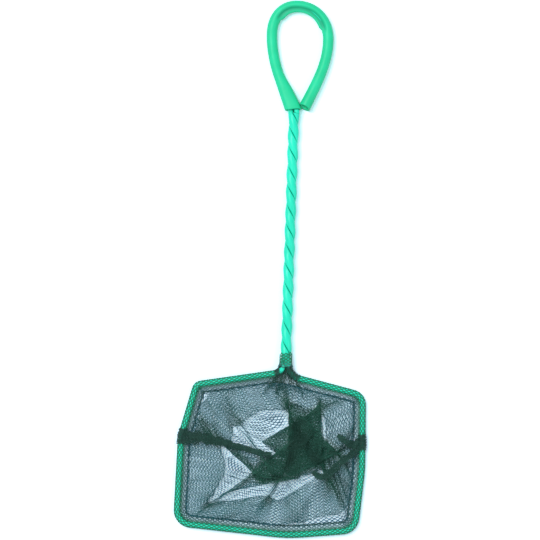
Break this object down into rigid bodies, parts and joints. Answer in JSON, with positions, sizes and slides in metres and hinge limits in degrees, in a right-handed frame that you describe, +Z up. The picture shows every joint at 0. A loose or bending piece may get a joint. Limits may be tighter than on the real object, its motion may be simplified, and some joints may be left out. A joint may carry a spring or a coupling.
{
  "type": "aquarium fish net",
  "caption": "Small hand net for an aquarium: coated wire bent into a hoop and twisted into a handle with a sleeved hang loop, and a fine mesh bag hemmed round the hoop.",
  "frame": {"origin": "on the table the net lies on, on the handle's axis, level with the middle of the hoop", "axes": "+Y along the handle from the hoop to the hang loop, +Z up from the table out of the net's mouth, +X to the right"},
  "size_m": [0.1004, 0.2824, 0.0069],
  "materials": {
    "steel_core": "drawn wire",
    "wire_coating": "glossy turquoise plastic coat",
    "grip_sleeve": "soft satin green plastic tube",
    "hem_mesh": "knitted nylon mesh pulled tight over the wire",
    "net_mesh": "knitted dark green nylon mesh",
    "sewing_thread": "dark green sewing thread"
  },
  "bodies": {
    "root": {"wire_core": "steel_core", "hoop_coating": "wire_coating", "short_strand_coating": "wire_coating", "long_strand_coating": "wire_coating", "loop_coating": "wire_coating", "grip_sleeve": "grip_sleeve", "hem_upper_left": "hem_mesh", "hem_upper_right": "hem_mesh", "hem_lower": "hem_mesh", "net_upper_panel": "net_mesh", "net_lower_panel": "net_mesh", "bag_toe": "net_mesh", "left_side_seam": "net_mesh", "right_side_seam": "net_mesh", "neck_wrap": "net_mesh", "left_neck_gather": "net_mesh", "right_neck_gather": "net_mesh", "hem_thread_upper": "sewing_thread", "hem_thread_lower": "sewing_thread"}
  },
  "joints": []
}
